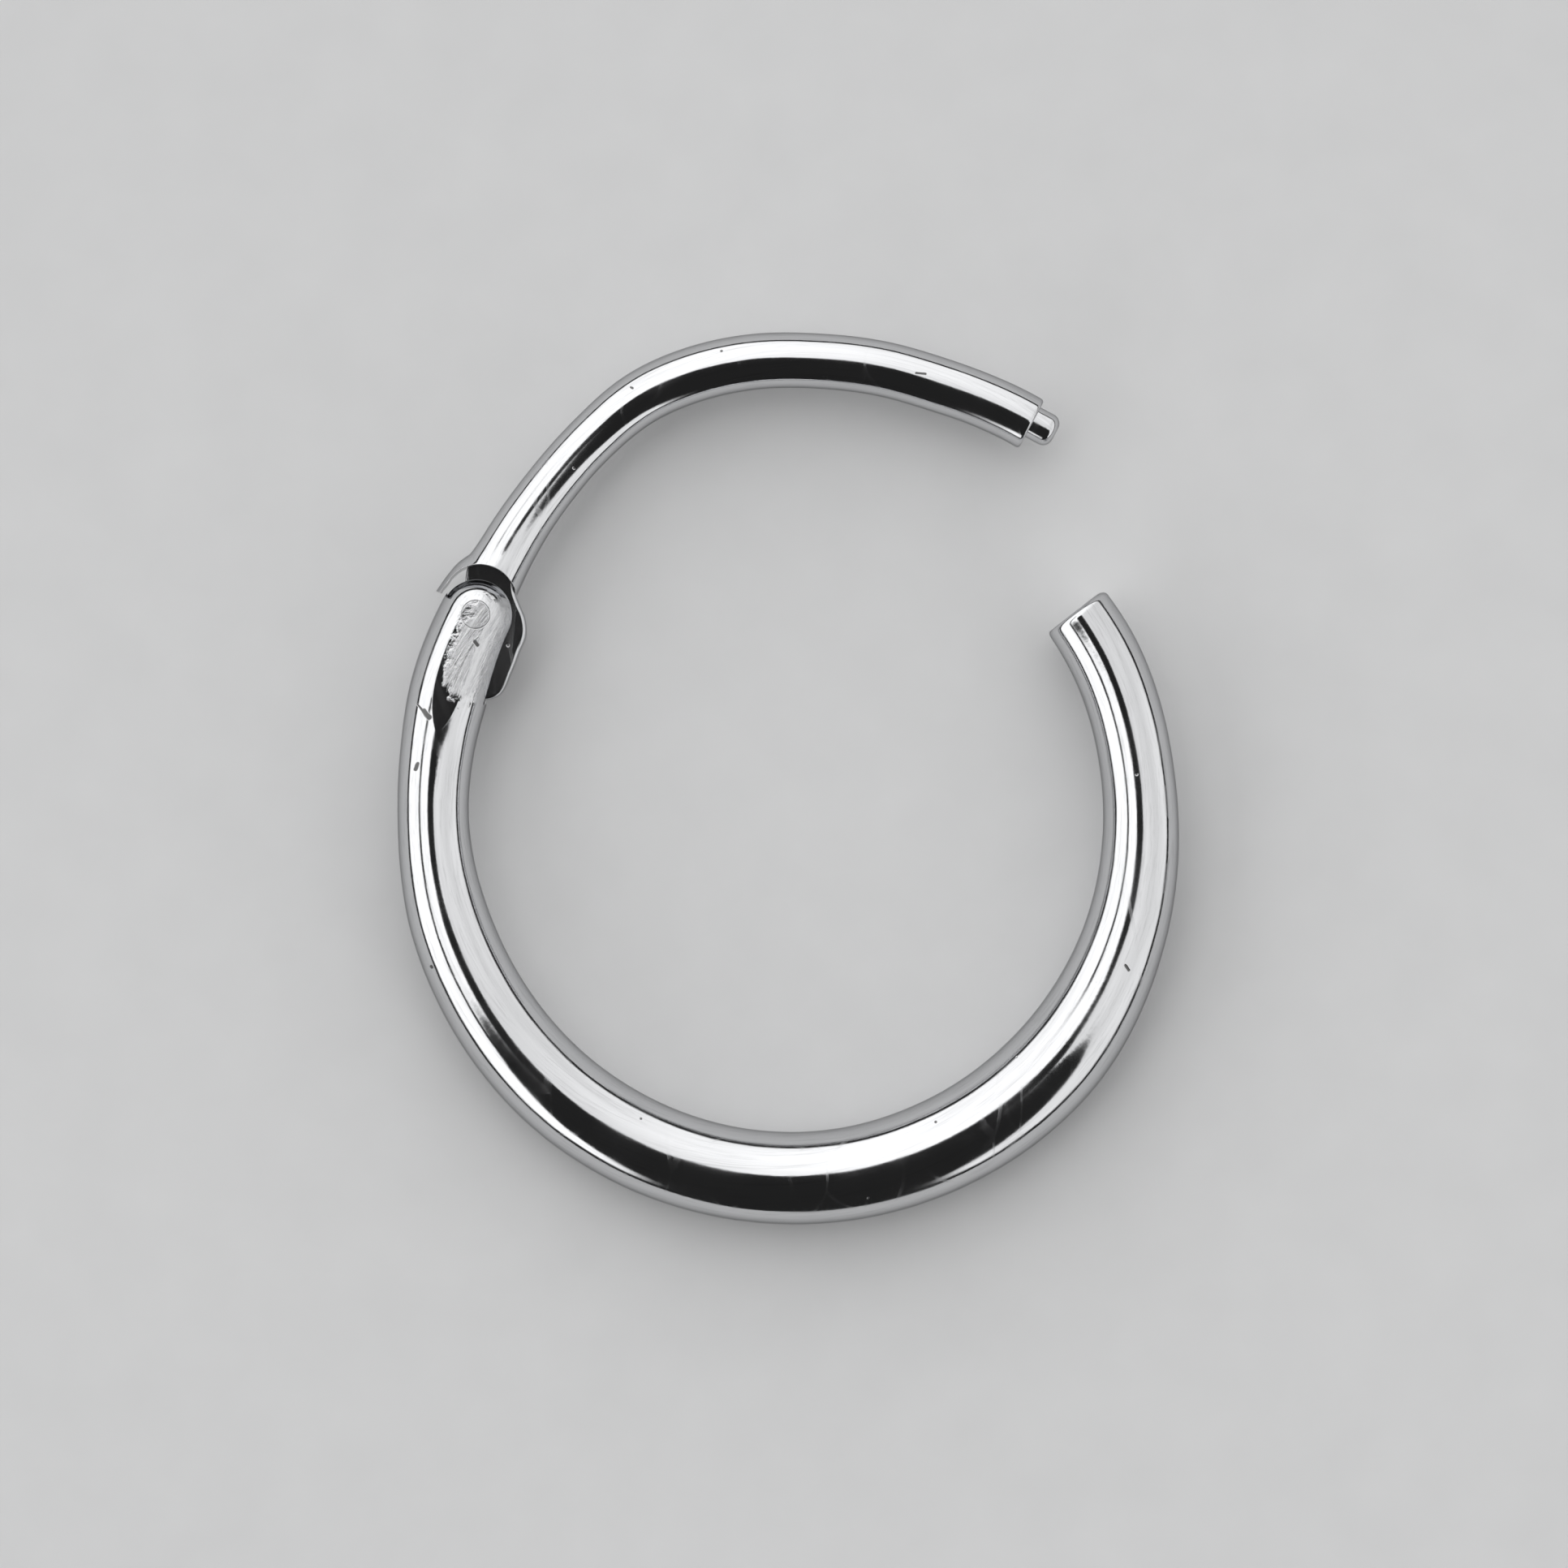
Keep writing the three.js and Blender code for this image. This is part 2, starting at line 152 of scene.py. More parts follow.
# Sections from the gate's tip (0) to the pin (1): place, swell from the thin wire to the
# shoulder, and how far the inner edge stands outside the ring's circle, as a share of GATE_BULGE.
GATE_TABLE = [
    (0.00, 0.00, -0.19), (0.09, 0.00, -0.44), (0.16, 0.02, -0.54), (0.24, 0.02, -0.39),
    (0.34, 0.02, -0.11), (0.44, 0.04, 0.37), (0.53, 0.04, 0.76), (0.61, 0.00, 1.00),
    (0.70, -0.08, 0.93), (0.79, -0.06, 0.86), (0.88, 0.04, 0.94),
    (1 - SHOULDER_RUN, 0.20, 1.02), (1 - SHOULDER_RUN * 0.58, 0.60, 1.00),
]

# The leaf's rim round the pin: degrees from the run down into the body, turning inwards, and
# the distance from the pin's centre.
LEAF_RIM = [
    (8, LEAF_REACH), (28, LEAF_REACH * 1.03), (44, LEAF_REACH * 0.83), (62, LEAF_BELLY * 1.06),
    (80, LEAF_BELLY), (100, LEAF_BELLY * 0.9), (118, LEAF_BELLY * 0.82),
    (138, LEAF_BELLY * 0.85), (165, LEAF_BACK), (195, LEAF_BACK),
    (222, LEAF_EYE), (255, LEAF_EYE), (290, LEAF_EYE),
    (320, LEAF_EYE * 1.12), (345, LEAF_EYE * 2.2),
]


def mix(a, b, share):
    return a + (b - a) * share


def polar(radius, degrees):
    turn = math.radians(degrees)
    return Vector((radius * math.cos(turn), radius * math.sin(turn), 0))


def section_table(rows, thin, thick, step):
    """Rows of place, wire thickness and inner edge radius."""
    return [(at, mix(thin, thick, swell), INNER_RADIUS + edge * step) for at, swell, edge in rows]


body_sections = section_table(BODY_TABLE, FREE_END_WIRE, MIDDLE_WIRE, EDGE_WAVER)
body_sections.append((1.0, KNUCKLE_WIRE, INNER_RADIUS + KNUCKLE_INSET))
gate_sections = section_table(GATE_TABLE, GATE_WIRE, SHOULDER_WIRE, GATE_BULGE)
gate_sections.append((1.0, SHOULDER_WIRE, INNER_RADIUS + KNUCKLE_INSET + SHOULDER_STEP / 4))


def read(table, at, column):
    """One column of a table at a place between its rows, on a smooth curve."""
    last = len(table) - 1
    i = max(min(sum(row[0] <= at for row in table), last) - 1, 0)

    def slope(k):
        a, b = table[max(k - 1, 0)], table[min(k + 1, last)]
        return (b[column] - a[column]) / (b[0] - a[0])

    span = table[i + 1][0] - table[i][0]
    u = (at - table[i][0]) / span
    start = table[i][column] * (1 + 2 * u) * (1 - u) ** 2
    end = table[i + 1][column] * (3 - 2 * u) * u ** 2
    return start + end + span * (slope(i) * u * (1 - u) ** 2 - slope(i + 1) * u ** 2 * (1 - u))


def centre_at(table, at, from_angle, to_angle):
    return polar(read(table, at, 2) + read(table, at, 1) / 2, mix(from_angle, to_angle, at))


def across_at(table, at, from_angle, to_angle):
    """The direction square to the wire that points away from the ring's centre."""
    before = centre_at(table, max(at - NEARBY, 0), from_angle, to_angle)
    after = centre_at(table, min(at + NEARBY, 1), from_angle, to_angle)
    across = (after - before).normalized().cross(UP)
    return -across if across.dot(before) < 0 else across


def wire_sections(table, from_angle, to_angle, end, steps, cut_angle, rounding, bias):
    """Centre, direction across and radius of each section, from a flat rounded end face."""
    length = math.radians(abs(to_angle - from_angle)) * INNER_RADIUS
    places = [rounding * (1 - math.cos(math.pi / 2 * k / DOME_STEPS)) / length
              for k in range(DOME_STEPS)]
    places += [mix(rounding / length, end, k / steps) for k in range(steps + 1)]
    sections = []
    for at in places:
        distance = at * length
        lean = max(1 - distance / (END_LEAN_REACH * table[0][1]), 0)
        across = across_at(table, at, from_angle, to_angle)
        across = across.lerp(polar(1, cut_angle), lean).normalized()
        left = max(rounding - distance, 0)
        taken = rounding - math.sqrt(rounding ** 2 - left ** 2)
        centre = centre_at(table, at, from_angle, to_angle) - across * taken * bias
        sections.append((centre, across, read(table, at, 1) / 2 - taken))
    return sections


pin = centre_at(body_sections, 1, FREE_END_ANGLE, BODY_END_ANGLE)
towards_tail = UP.cross(polar(1, HINGE_ANGLE))
inwards = polar(-1, HINGE_ANGLE)

# The gate's tip stands off the body's end face, whose cut leans a little from the ring's radius.
tip_radius = gate_sections[0][2] + GATE_WIRE / 2
end_offset = body_sections[0][2] + body_sections[0][1] / 2 - tip_radius
cut_lean = math.radians(BODY_CUT_ANGLE - FREE_END_ANGLE)
face_turn = math.radians(abs(GATE_CUT_ANGLE - BODY_CUT_ANGLE))
corner_gap = END_GAP + GATE_WIRE / 2 * math.sin(face_turn)
tip_shift = corner_gap / math.cos(cut_lean) - end_offset * math.tan(cut_lean)
tip_angle = FREE_END_ANGLE + math.degrees(tip_shift / tip_radius)
tip = polar(tip_radius, tip_angle)
stud_place = tip + polar(STUD_OFFSET, GATE_CUT_ANGLE)
stud_direction = polar(1, GATE_CUT_ANGLE - 90)

# The joint's place in the frame says where the ring's own centre lies.
hinge = Vector(frame["record"]["behaviour"]["joints"][0]["pos_m"])
ring_centre = hinge - pin * MM
to_frame = Matrix.Translation(ring_centre) @ Matrix.Scale(MM, 4)
swing_open = Matrix.Translation(pin) @ Matrix.Rotation(math.radians(OPEN_ANGLE), 4, "Z")
gate_to_frame = to_frame @ swing_open @ Matrix.Translation(-pin)


def collection_object(name, mesh):
    made = bpy.data.objects.new(name, mesh)
    bpy.context.scene.collection.objects.link(made)
    return made


def mesh_from(name, points, faces, material=None):
    mesh = bpy.data.meshes.new(name)
    mesh.from_pydata([tuple(p) for p in points], [], faces)
    if material:
        mesh.materials.append(material)
    return mesh


class Tree:
    """Short forms for placing and joining the nodes of a tree."""

    def __init__(self, tree):
        self.tree = tree

    def node(self, kind, settings=None, **inputs):
        made = self.tree.nodes.new(kind)
        for name, value in (settings or {}).items():
            setattr(made, name, value)
        for name, value in inputs.items():
            self.feed(made, name.replace("_", " "), value)
        return made

    def feed(self, node, name, value):
        socket = node.inputs[int(name)] if name.isdigit() else node.inputs[name]
        if isinstance(value, bpy.types.NodeSocket):
            self.tree.links.new(value, socket)
        else:
            socket.default_value = value

    def math(self, operation, a, b=0.0, c=0.0, clamp=False):
        made = self.node("ShaderNodeMath", {"operation": operation, "use_clamp": clamp})
        for name, value in zip("012", (a, b, c)):
            self.feed(made, name, value)
        return made.outputs[0]

    def times(self, first, *others):
        """The product of all that is given."""
        for other in others:
            first = self.math("MULTIPLY", first, other)
        return first

    def plus(self, total, effect, weight):
        """A total with one more effect, at its weight."""
        return self.math("MULTIPLY_ADD", effect, weight, total)

    def vector(self, operation, a, b=(0.0, 0.0, 0.0)):
        made = self.node("ShaderNodeVectorMath", {"operation": operation})
        self.feed(made, "0", a)
        if operation == "SCALE":
            self.feed(made, "Scale", b)
        else:
            self.feed(made, "1", b)
        plain = operation in ("LENGTH", "DOT_PRODUCT", "DISTANCE")
        return made.outputs["Value" if plain else "Vector"]

    def ramp(self, value, low, high, out_low=0.0, out_high=1.0):
        """A smooth step between two numbers as the value goes from low to high."""
        made = self.node("ShaderNodeMapRange", {"interpolation_type": "SMOOTHSTEP"})
        for name, number in zip(("Value", "From Min", "From Max", "To Min", "To Max"),
                                (value, low, high, out_low, out_high)):
            self.feed(made, name, number)
        return made.outputs["Result"]

    def noise(self, place, scale, **settings):
        return self.node("ShaderNodeTexNoise", Vector=place, Scale=scale, **settings).outputs[0]

    def colour_mix(self, share, first, second):
        made = self.node("ShaderNodeMix", {"data_type": "RGBA"}, Factor=share)
        self.feed(made, "6", (*first, 1))
        self.feed(made, "7", (*second, 1))
        return made.outputs[2]

    def group(self, shared, **inputs):
        """The outputs of a shared group, placed with its own values."""
        return self.node("ShaderNodeGroup", {"node_tree": shared}, **inputs).outputs


def group_of(kind, name, inputs, outputs):
    """A new node group with its named sockets, its input node and its output node."""
    group = bpy.data.node_groups.new(name, kind)
    for socket, socket_type, value in inputs:
        made = group.interface.new_socket(socket, in_out="INPUT", socket_type=socket_type)
        if value is not None:
            made.default_value = value
    for socket, socket_type in outputs:
        group.interface.new_socket(socket, in_out="OUTPUT", socket_type=socket_type)
    return group, group.nodes.new("NodeGroupInput"), group.nodes.new("NodeGroupOutput")


def loft_group():
    """Skins a row of section points that carry a direction across and a radius."""
    group, source, sink = group_of("GeometryNodeTree", "wire_loft", [
        ("Sections", "NodeSocketGeometry", None),
        ("Section count", "NodeSocketInt", None),
        ("Sides", "NodeSocketInt", None),
        ("Waver", "NodeSocketFloat", None),
        ("Wavers per mm", "NodeSocketFloat", None),
        ("Steel", "NodeSocketMaterial", None),
    ], [("Wire", "NodeSocketGeometry")])
    t = Tree(group)
    given = source.outputs
    columns = t.math("ADD", given["Sides"], 1)
    grid = t.node("GeometryNodeMeshGrid", Vertices_X=given["Section count"], Vertices_Y=columns)
    index = t.node("GeometryNodeInputIndex").outputs[0]
    # Half a point is added, so that the whole number of rows is never rounded down by one.
    row = t.math("FLOOR", t.math("DIVIDE", t.math("ADD", index, 0.5), columns))
    column = t.math("SUBTRACT", index, t.math("MULTIPLY", row, columns))
    turn = t.math("MULTIPLY", column, t.math("DIVIDE", math.tau, given["Sides"]))

    def sample(data_type, value):
        picked = t.node("GeometryNodeSampleIndex", {"data_type": data_type, "domain": "POINT"})
        t.feed(picked, "Geometry", given["Sections"])
        t.feed(picked, "Value", value)
        t.feed(picked, "Index", row)
        return picked.outputs["Value"]

    def attribute(data_type, name):
        return t.node("GeometryNodeInputNamedAttribute", {"data_type": data_type},
                      Name=name).outputs["Attribute"]

    centre = sample("FLOAT_VECTOR", t.node("GeometryNodeInputPosition").outputs[0])
    across = sample("FLOAT_VECTOR", attribute("FLOAT_VECTOR", "across"))
    radius = sample("FLOAT", attribute("FLOAT", "radius"))
    sideways = t.vector("SCALE", across, t.math("COSINE", turn))
    upwards = t.vector("SCALE", tuple(UP), t.math("SINE", turn))
    outwards = t.vector("ADD", sideways, upwards)
    bare = t.vector("ADD", centre, t.vector("SCALE", outwards, radius))
    wobble = t.noise(bare, given["Wavers per mm"], Detail=1.0)
    swing = t.math("MULTIPLY", t.math("SUBTRACT", wobble, 0.5), given["Waver"])
    final_radius = t.math("MULTIPLY", radius, t.math("ADD", swing, 1.0))
    place = t.vector("ADD", centre, t.vector("SCALE", outwards, final_radius))
    moved = t.node("GeometryNodeSetPosition", Geometry=grid.outputs["Mesh"], Position=place)
    merged = t.node("GeometryNodeMergeByDistance", Geometry=moved.outputs[0],
                    Distance=POLE_DOUBLES)
    smooth = t.node("GeometryNodeSetShadeSmooth", Geometry=merged.outputs[0])
    real = t.node("GeometryNodeRealizeInstances", Geometry=smooth.outputs[0])
    steel = t.node("GeometryNodeSetMaterial", Geometry=real.outputs[0], Material=given["Steel"])
    group.links.new(steel.outputs[0], sink.inputs[0])
    return group


def set_input(modifier, name, value):
    for item in modifier.node_group.interface.items_tree:
        if item.item_type == "SOCKET" and item.in_out == "INPUT" and item.name == name:
            modifier[item.identifier] = value


def evaluated_mesh(piece):
    bpy.context.view_layer.update()
    depsgraph = bpy.context.evaluated_depsgraph_get()
    return bpy.data.meshes.new_from_object(piece.evaluated_get(depsgraph))


def outward(mesh, doubles=DOUBLES):
    """Merges what lies together and turns every face outwards."""
    work = bmesh.new()
    work.from_mesh(mesh)
    if doubles:
        bmesh.ops.remove_doubles(work, verts=work.verts, dist=doubles)
    bmesh.ops.recalc_face_normals(work, faces=work.faces)
    work.to_mesh(mesh)
    work.free()
    return mesh


def lofted_wire(name, sections, steel):
    """The smooth wire through its sections, closed at both ends."""
    first, last = sections[0], sections[-1]
    rows = [(first[0], first[1], 0.0)] + sections + [(last[0], last[1], 0.0)]
    points = mesh_from(name + "_sections", [row[0] for row in rows], [])
    across = points.attributes.new("across", "FLOAT_VECTOR", "POINT")
    across.data.foreach_set("vector", [number for row in rows for number in row[1]])
    radius = points.attributes.new("radius", "FLOAT", "POINT")
    radius.data.foreach_set("value", [row[2] for row in rows])
    piece = collection_object(name, points)
    modifier = piece.modifiers.new("loft", "NODES")
    modifier.node_group = wire_loft
    set_input(modifier, "Section count", len(rows))
    set_input(modifier, "Sides", WIRE_SIDES)
    set_input(modifier, "Waver", HAND_WAVER)
    set_input(modifier, "Wavers per mm", WAVERS_PER_MM)
    set_input(modifier, "Steel", steel)
    piece.update_tag()
    skin = outward(evaluated_mesh(piece))
    piece.modifiers.clear()
    piece.data = skin
    return piece


def cut_or_join(piece, operation, tools):
    """Cuts tools away from a piece, joins them to it, or keeps what they share."""
    for tool in tools:
        modifier = piece.modifiers.new(operation.lower(), "BOOLEAN")
        modifier.operation = operation
        modifier.solver = "EXACT"
        modifier.object = tool
        modifier.material_mode = "TRANSFER"
        piece.data = evaluated_mesh(piece)
        piece.modifiers.clear()
    for tool in tools:
        bpy.data.objects.remove(tool)


def round_form(name, profile, material):
    """A closed lathe form about +Z from a profile of radius and height, axis to axis."""
    points, faces, rings = [], [], []
    for radius, height in profile:
        if radius < ON_AXIS:
            rings.append([len(points)])
            points.append((0, 0, height))
            continue
        rings.append(list(range(len(points), len(points) + ROUND_SIDES)))
        for k in range(ROUND_SIDES):
            turn = math.tau * k / ROUND_SIDES
            points.append((radius * math.cos(turn), radius * math.sin(turn), height))
    for low, high in zip(rings, rings[1:]):
        for k in range(ROUND_SIDES):
            n = (k + 1) % ROUND_SIDES
            corners = [low[k % len(low)], low[n % len(low)],
                       high[n % len(high)], high[k % len(high)]]
            faces.append(list(dict.fromkeys(corners)))
    return outward(mesh_from(name, points, faces, material))


def upright_cylinder(name, radius, place, material):
    half = THROUGH / 2
    profile = [(0, -half), (radius, -half), (radius, half), (0, half)]
    mesh = round_form(name, profile, material)
    mesh.transform(Matrix.Translation(place))
    return collection_object(name, mesh)


def plate(name, rim, thickness, edge, material):
    """A flat plate from a function of how far its rim is drawn in, with a rounded rim."""
    half = thickness / 2
    layers = [(0, -half), (0, half)]
    if edge:
        rounding = [math.pi / 2 * k / LEAF_EDGE_STEPS for k in range(LEAF_EDGE_STEPS + 1)]
        upper = [(edge * (1 - math.cos(turn)), half - edge * (1 - math.sin(turn)))
                 for turn in rounding] + [(edge + LEAF_EDGE_MARGIN, half)]
        layers = [(inset, -height) for inset, height in reversed(upper)] + upper
    outlines = [rim(inset) for inset, height in layers]
    count = len(outlines[0])
    points = [(p.x, p.y, z) for (inset, z), outline in zip(layers, outlines) for p in outline]
    faces = [list(range(count))[::-1], list(range(len(points) - count, len(points)))]
    for base in range(0, len(points) - count, count):
        faces += [[base + k, base + (k + 1) % count, base + count + (k + 1) % count,
                   base + count + k] for k in range(count)]
    return collection_object(name, outward(mesh_from(name, points, faces, material)))


def stud_mesh(gap, shank, material):
    """The stud where it stands on the gate, grown all round by a gap."""
    radius = STUD_DIAMETER / 2 + gap
    length = STUD_LENGTH + gap
    profile = [(0, -shank), (radius, -shank)]
    for k in range(DOME_STEPS + 1):
        turn = math.pi / 2 * k / DOME_STEPS
        inset = STUD_EDGE * (1 - math.cos(turn))
        profile.append((radius - inset, length - STUD_EDGE * (1 - math.sin(turn))))
    profile.append((0, length))
    mesh = round_form("stud_form", profile, material)
    aim = UP.rotation_difference(stud_direction).to_matrix().to_4x4()
    mesh.transform(Matrix.Translation(stud_place) @ aim)
    return mesh


def about_pin(turn, reach):
    angle = math.radians(turn)
    return pin + towards_tail * reach * math.cos(angle) + inwards * reach * math.sin(angle)


def leaf_reach(turn):
    """The leaf's rim at any turn, on a smooth closed curve through its rows."""
    count = len(LEAF_RIM)
    turn = (turn - LEAF_RIM[0][0]) % 360 + LEAF_RIM[0][0]
    i = sum(row[0] <= turn for row in LEAF_RIM) - 1

    def row(k):
        lap, place = divmod(k, count)
        return LEAF_RIM[place][0] + 360 * lap, LEAF_RIM[place][1]

    around = [row(i + k) for k in (-1, 0, 1, 2)]
    return read(around, turn, 1)


def leaf_tool(steel):
    def rim(inset):
        return [about_pin(turn, leaf_reach(turn) - inset) for turn in range(0, 360, RIM_STEP)]

    leaf = plate("leaf_form", rim, LEAF_THICKNESS, LEAF_EDGE, steel)
    bore = upright_cylinder("leaf_bore", PIN_DIAMETER / 2 + LEAF_BORE_GAP, pin, steel)
    cut_or_join(leaf, "DIFFERENCE", [bore])
    return leaf


def slot_tool(steel):
    """What the leaf sweeps from shut to widest, grown by the slot's gaps."""
    swings = range(-SWING_SPARE, WIDEST_ANGLE + SWING_SPARE + 1, SWING_STEP)

    def rim(inset):
        points = []
        for turn in range(0, 360, RIM_STEP):
            reach = max(leaf_reach(turn - swing) for swing in swings)
            points.append(about_pin(turn, reach + SLOT_END_GAP - inset))
        return points

    return plate("slot_form", rim, LEAF_THICKNESS + 2 * SLOT_GAP, 0, steel)


def flat_tools(steel):
    """Blocks that grind the knuckle's crest flat above and below, running out along the wire."""
    corners = [(x, y, z) for z in (0, 1) for x, y in ((-1, -1), (1, -1), (1, 1), (-1, 1))]
    faces = [[3, 2, 1, 0], [4, 5, 6, 7], [0, 1, 5, 4], [1, 2, 6, 5], [2, 3, 7, 6], [3, 0, 4, 7]]
    lift = Matrix.Translation(pin + UP * FLAT_HEIGHT)
    turned = UP.cross(towards_tail).to_track_quat("X", "Z").to_matrix().to_4x4()
    tilt = Matrix.Rotation(math.radians(-FLAT_TILT), 4, "X")
    size = Matrix.Diagonal((1, FLAT_LENGTH, 1, 1))
    tools = []
    for side in (1, -1):
        mesh = mesh_from("flat_form", corners, faces, steel)
        mesh.transform(Matrix.Diagonal((1, 1, side, 1)) @ lift @ turned @ tilt @ size)
        tools.append(collection_object("flat_form", outward(mesh)))
    return tools


def socket_tool(steel):
    """What the stud passes through as the gate shuts, grown by the socket's gap."""
    swing = (pin - tip).length
    clear_out = (STUD_LENGTH + SOCKET_GAP + END_GAP) / swing * SWEEP_SPARE
    tools = []
    for k in range(SWEEP_STOPS + 1):
        mesh = stud_mesh(SOCKET_GAP, corner_gap, steel)
        turned = Matrix.Rotation(clear_out * k / SWEEP_STOPS, 4, "Z")
        mesh.transform(Matrix.Translation(pin) @ turned @ Matrix.Translation(-pin))
        tools.append(collection_object("socket_form", mesh))
    first = tools.pop(0)
    cut_or_join(first, "UNION", tools)
    return first


def body_blank(name, steel):
    """The swelling wire with its round knuckle, before anything is cut."""
    sections = wire_sections(body_sections, FREE_END_ANGLE, BODY_END_ANGLE, 1, BODY_STEPS,
                             BODY_CUT_ANGLE, BODY_END_ROUNDING, BODY_END_BIAS)
    across = polar(1, HINGE_ANGLE)
    for k in range(1, DOME_STEPS):
        turn = math.pi / 2 * k / DOME_STEPS
        centre = pin - towards_tail * KNUCKLE_RADIUS * math.sin(turn)
        sections.append((centre, across, KNUCKLE_RADIUS * math.cos(turn)))
    return lofted_wire(name, sections, steel)


def finish_piece(piece, place, node, body):
    """Puts a finished mesh where the frame has its solid, and hands it to its body."""
    piece.data.transform(place)
    outward(piece.data, doubles=0)
    piece.data.polygons.foreach_set("use_smooth", [True] * len(piece.data.polygons))
    piece.data.set_sharp_from_angle(angle=math.radians(SHARP_EDGE))
    piece.data.update()
    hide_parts(node)
    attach(piece, body)


# How many of each effect a millimetre holds.
FACETS_PER_MM = 3.2
WORN_PATCHES_PER_MM = 0.9
GRAINS_PER_MM = 14.0
PITS_PER_MM = 5.0
SCRATCHES_PER_MM = 1.6
SCRATCH_GAPS_PER_MM = 1.3
RAGS_PER_MM = 6.0
GOUGES_PER_MM = 7.0
HOLLOWS_PER_MM = 1.1

# The part of its range over which each effect fades in or out.
WORN_RANGE = (0.42, 0.66)
STREAK_RANGE = (0.48, 0.72)
FACET_RANGE = (0.45, 0.75)
SCRATCH_GAP_RANGE = (0.55, 0.7)
PIT_EDGE = (0.4, 1.0)
MARK_EDGE = (0.5, 1.0)
FADE_OUT = (1.0, 0.0)

# How fast a wheel line's pattern changes along the wire, as a share of the change across it.
LENGTH_RATIO = 0.06

# A pit's size and a scratch's width are shares of the space between two of them. Each set of
# scratches has a direction in radians and a shift in millimetres, which also tips it.
PIT_SIZE = 0.16
SCRATCH_WIDTH = 0.02
SCRATCH_STRETCH = 0.12
SCRATCH_SETS = ((0.5, 0.0), (1.9, 3.7), (2.7, 8.1))
SCRATCH_TIP = 0.2
SCRATCH_TIP_PER_SHIFT = 0.3

# How far a mark's edge wanders, as a share of its width.
NICK_RAGGEDNESS = 1.4
GROUND_RAGGEDNESS = 1.2

# What each effect adds to the roughness where it is fullest.
WORN_ROUGHNESS = 0.04
LINE_ROUGHNESS = 0.05
SCRATCH_ROUGHNESS = 0.08
MARK_ROUGHNESS = 0.3
GROUND_ROUGHNESS = 0.16

# How high each effect stands where it is fullest, in thousandths of a millimetre.
FACET_HEIGHT = 1.6
GRAIN_HEIGHT = 0.3
SCRATCH_HEIGHT = -0.12
MARK_HEIGHT = -3.0
GOUGE_HEIGHT = 16.0
HOLLOW_HEIGHT = 4.0
HEIGHT_UNIT = 0.001 * MM

# How far the colour is darkened towards a dark tone in pits and nicks and along wheel lines and
# facets, where each is fullest.
MARK_DARKNESS = 0.85
STREAK_DARKNESS = 0.14
FACET_DARKNESS = 0.06

BRIGHT_STEEL = (0.68, 0.684, 0.695)
CUT_STEEL = (0.58, 0.584, 0.595)
RIVET_STEEL = (0.64, 0.644, 0.655)
# The dark tone that the steel's colour is mixed towards in pits and nicks and along wheel lines
# and facets.
DARKENED_TONE = (0.05, 0.048, 0.045)
EDGE_TINT = (0.5, 0.5, 0.5)


def wire_coordinates_group():
    """Coordinates that hardly change along the wire and change fully across it."""
    group, source, sink = group_of("ShaderNodeTree", "along_the_wire", [
        ("Point", "NodeSocketVector", None),
        ("Centre", "NodeSocketVector", None),
        ("Length ratio", "NodeSocketFloat", LENGTH_RATIO),
    ], [("Run", "NodeSocketVector")])
    t = Tree(group)
    local = t.vector("SUBTRACT", source.outputs["Point"], source.outputs["Centre"])
    parts = t.node("ShaderNodeSeparateXYZ", Vector=local)
    flat = t.node("ShaderNodeCombineXYZ", X=parts.outputs[0], Y=parts.outputs[1])
    distance = t.vector("LENGTH", flat.outputs[0])
    across = t.node("ShaderNodeCombineXYZ", X=distance, Z=parts.outputs[2])
    slow = t.vector("SCALE", flat.outputs[0], source.outputs["Length ratio"])
    group.links.new(t.vector("ADD", across.outputs[0], slow), sink.inputs["Run"])
    return group


def polish_lines_group():
    """Hair-fine wheel lines along the wire, its faint facets and grain, and where it wore."""
    group, source, sink = group_of("ShaderNodeTree", "polish_lines", [
        ("Run", "NodeSocketVector", None),
        ("Point", "NodeSocketVector", None),
        ("Lines per mm", "NodeSocketFloat", None),
    ], [("Lines", "NodeSocketFloat"), ("Worn patches", "NodeSocketFloat"),
        ("Facets", "NodeSocketFloat"), ("Grain", "NodeSocketFloat")])
    t = Tree(group)
    per_metre = t.math("DIVIDE", source.outputs["Lines per mm"], MM)
    run = source.outputs["Run"]
    point = source.outputs["Point"]
    patch = t.noise(point, WORN_PATCHES_PER_MM / MM, Detail=3.0)
    made = {
        "Lines": t.noise(run, per_metre, Detail=4.0, Roughness=0.7),
        "Worn patches": t.ramp(patch, *WORN_RANGE),
        "Facets": t.noise(run, FACETS_PER_MM / MM, Detail=2.0),
        "Grain": t.noise(point, GRAINS_PER_MM / MM, Detail=2.0),
    }
    for name, value in made.items():
        group.links.new(value, sink.inputs[name])
    return group


def pits_group():
    """Scattered pin-prick pits."""
    group, source, sink = group_of("ShaderNodeTree", "casting_pits", [
        ("Point", "NodeSocketVector", None),
        ("Pits per mm", "NodeSocketFloat", PITS_PER_MM),
        ("Share", "NodeSocketFloat", None),
        ("Size", "NodeSocketFloat", PIT_SIZE),
    ], [("Pits", "NodeSocketFloat")])
    t = Tree(group)
    per_metre = t.math("DIVIDE", source.outputs["Pits per mm"], MM)
    cells = t.node("ShaderNodeTexVoronoi", Vector=source.outputs["Point"], Scale=per_metre)
    chosen = t.node("ShaderNodeSeparateColor", Color=cells.outputs["Color"]).outputs[0]
    keep = t.math("LESS_THAN", chosen, source.outputs["Share"])
    near = t.math("DIVIDE", cells.outputs["Distance"], source.outputs["Size"])
    dot = t.ramp(near, *PIT_EDGE, *FADE_OUT)
    group.links.new(t.math("MULTIPLY", dot, keep), sink.inputs["Pits"])
    return group


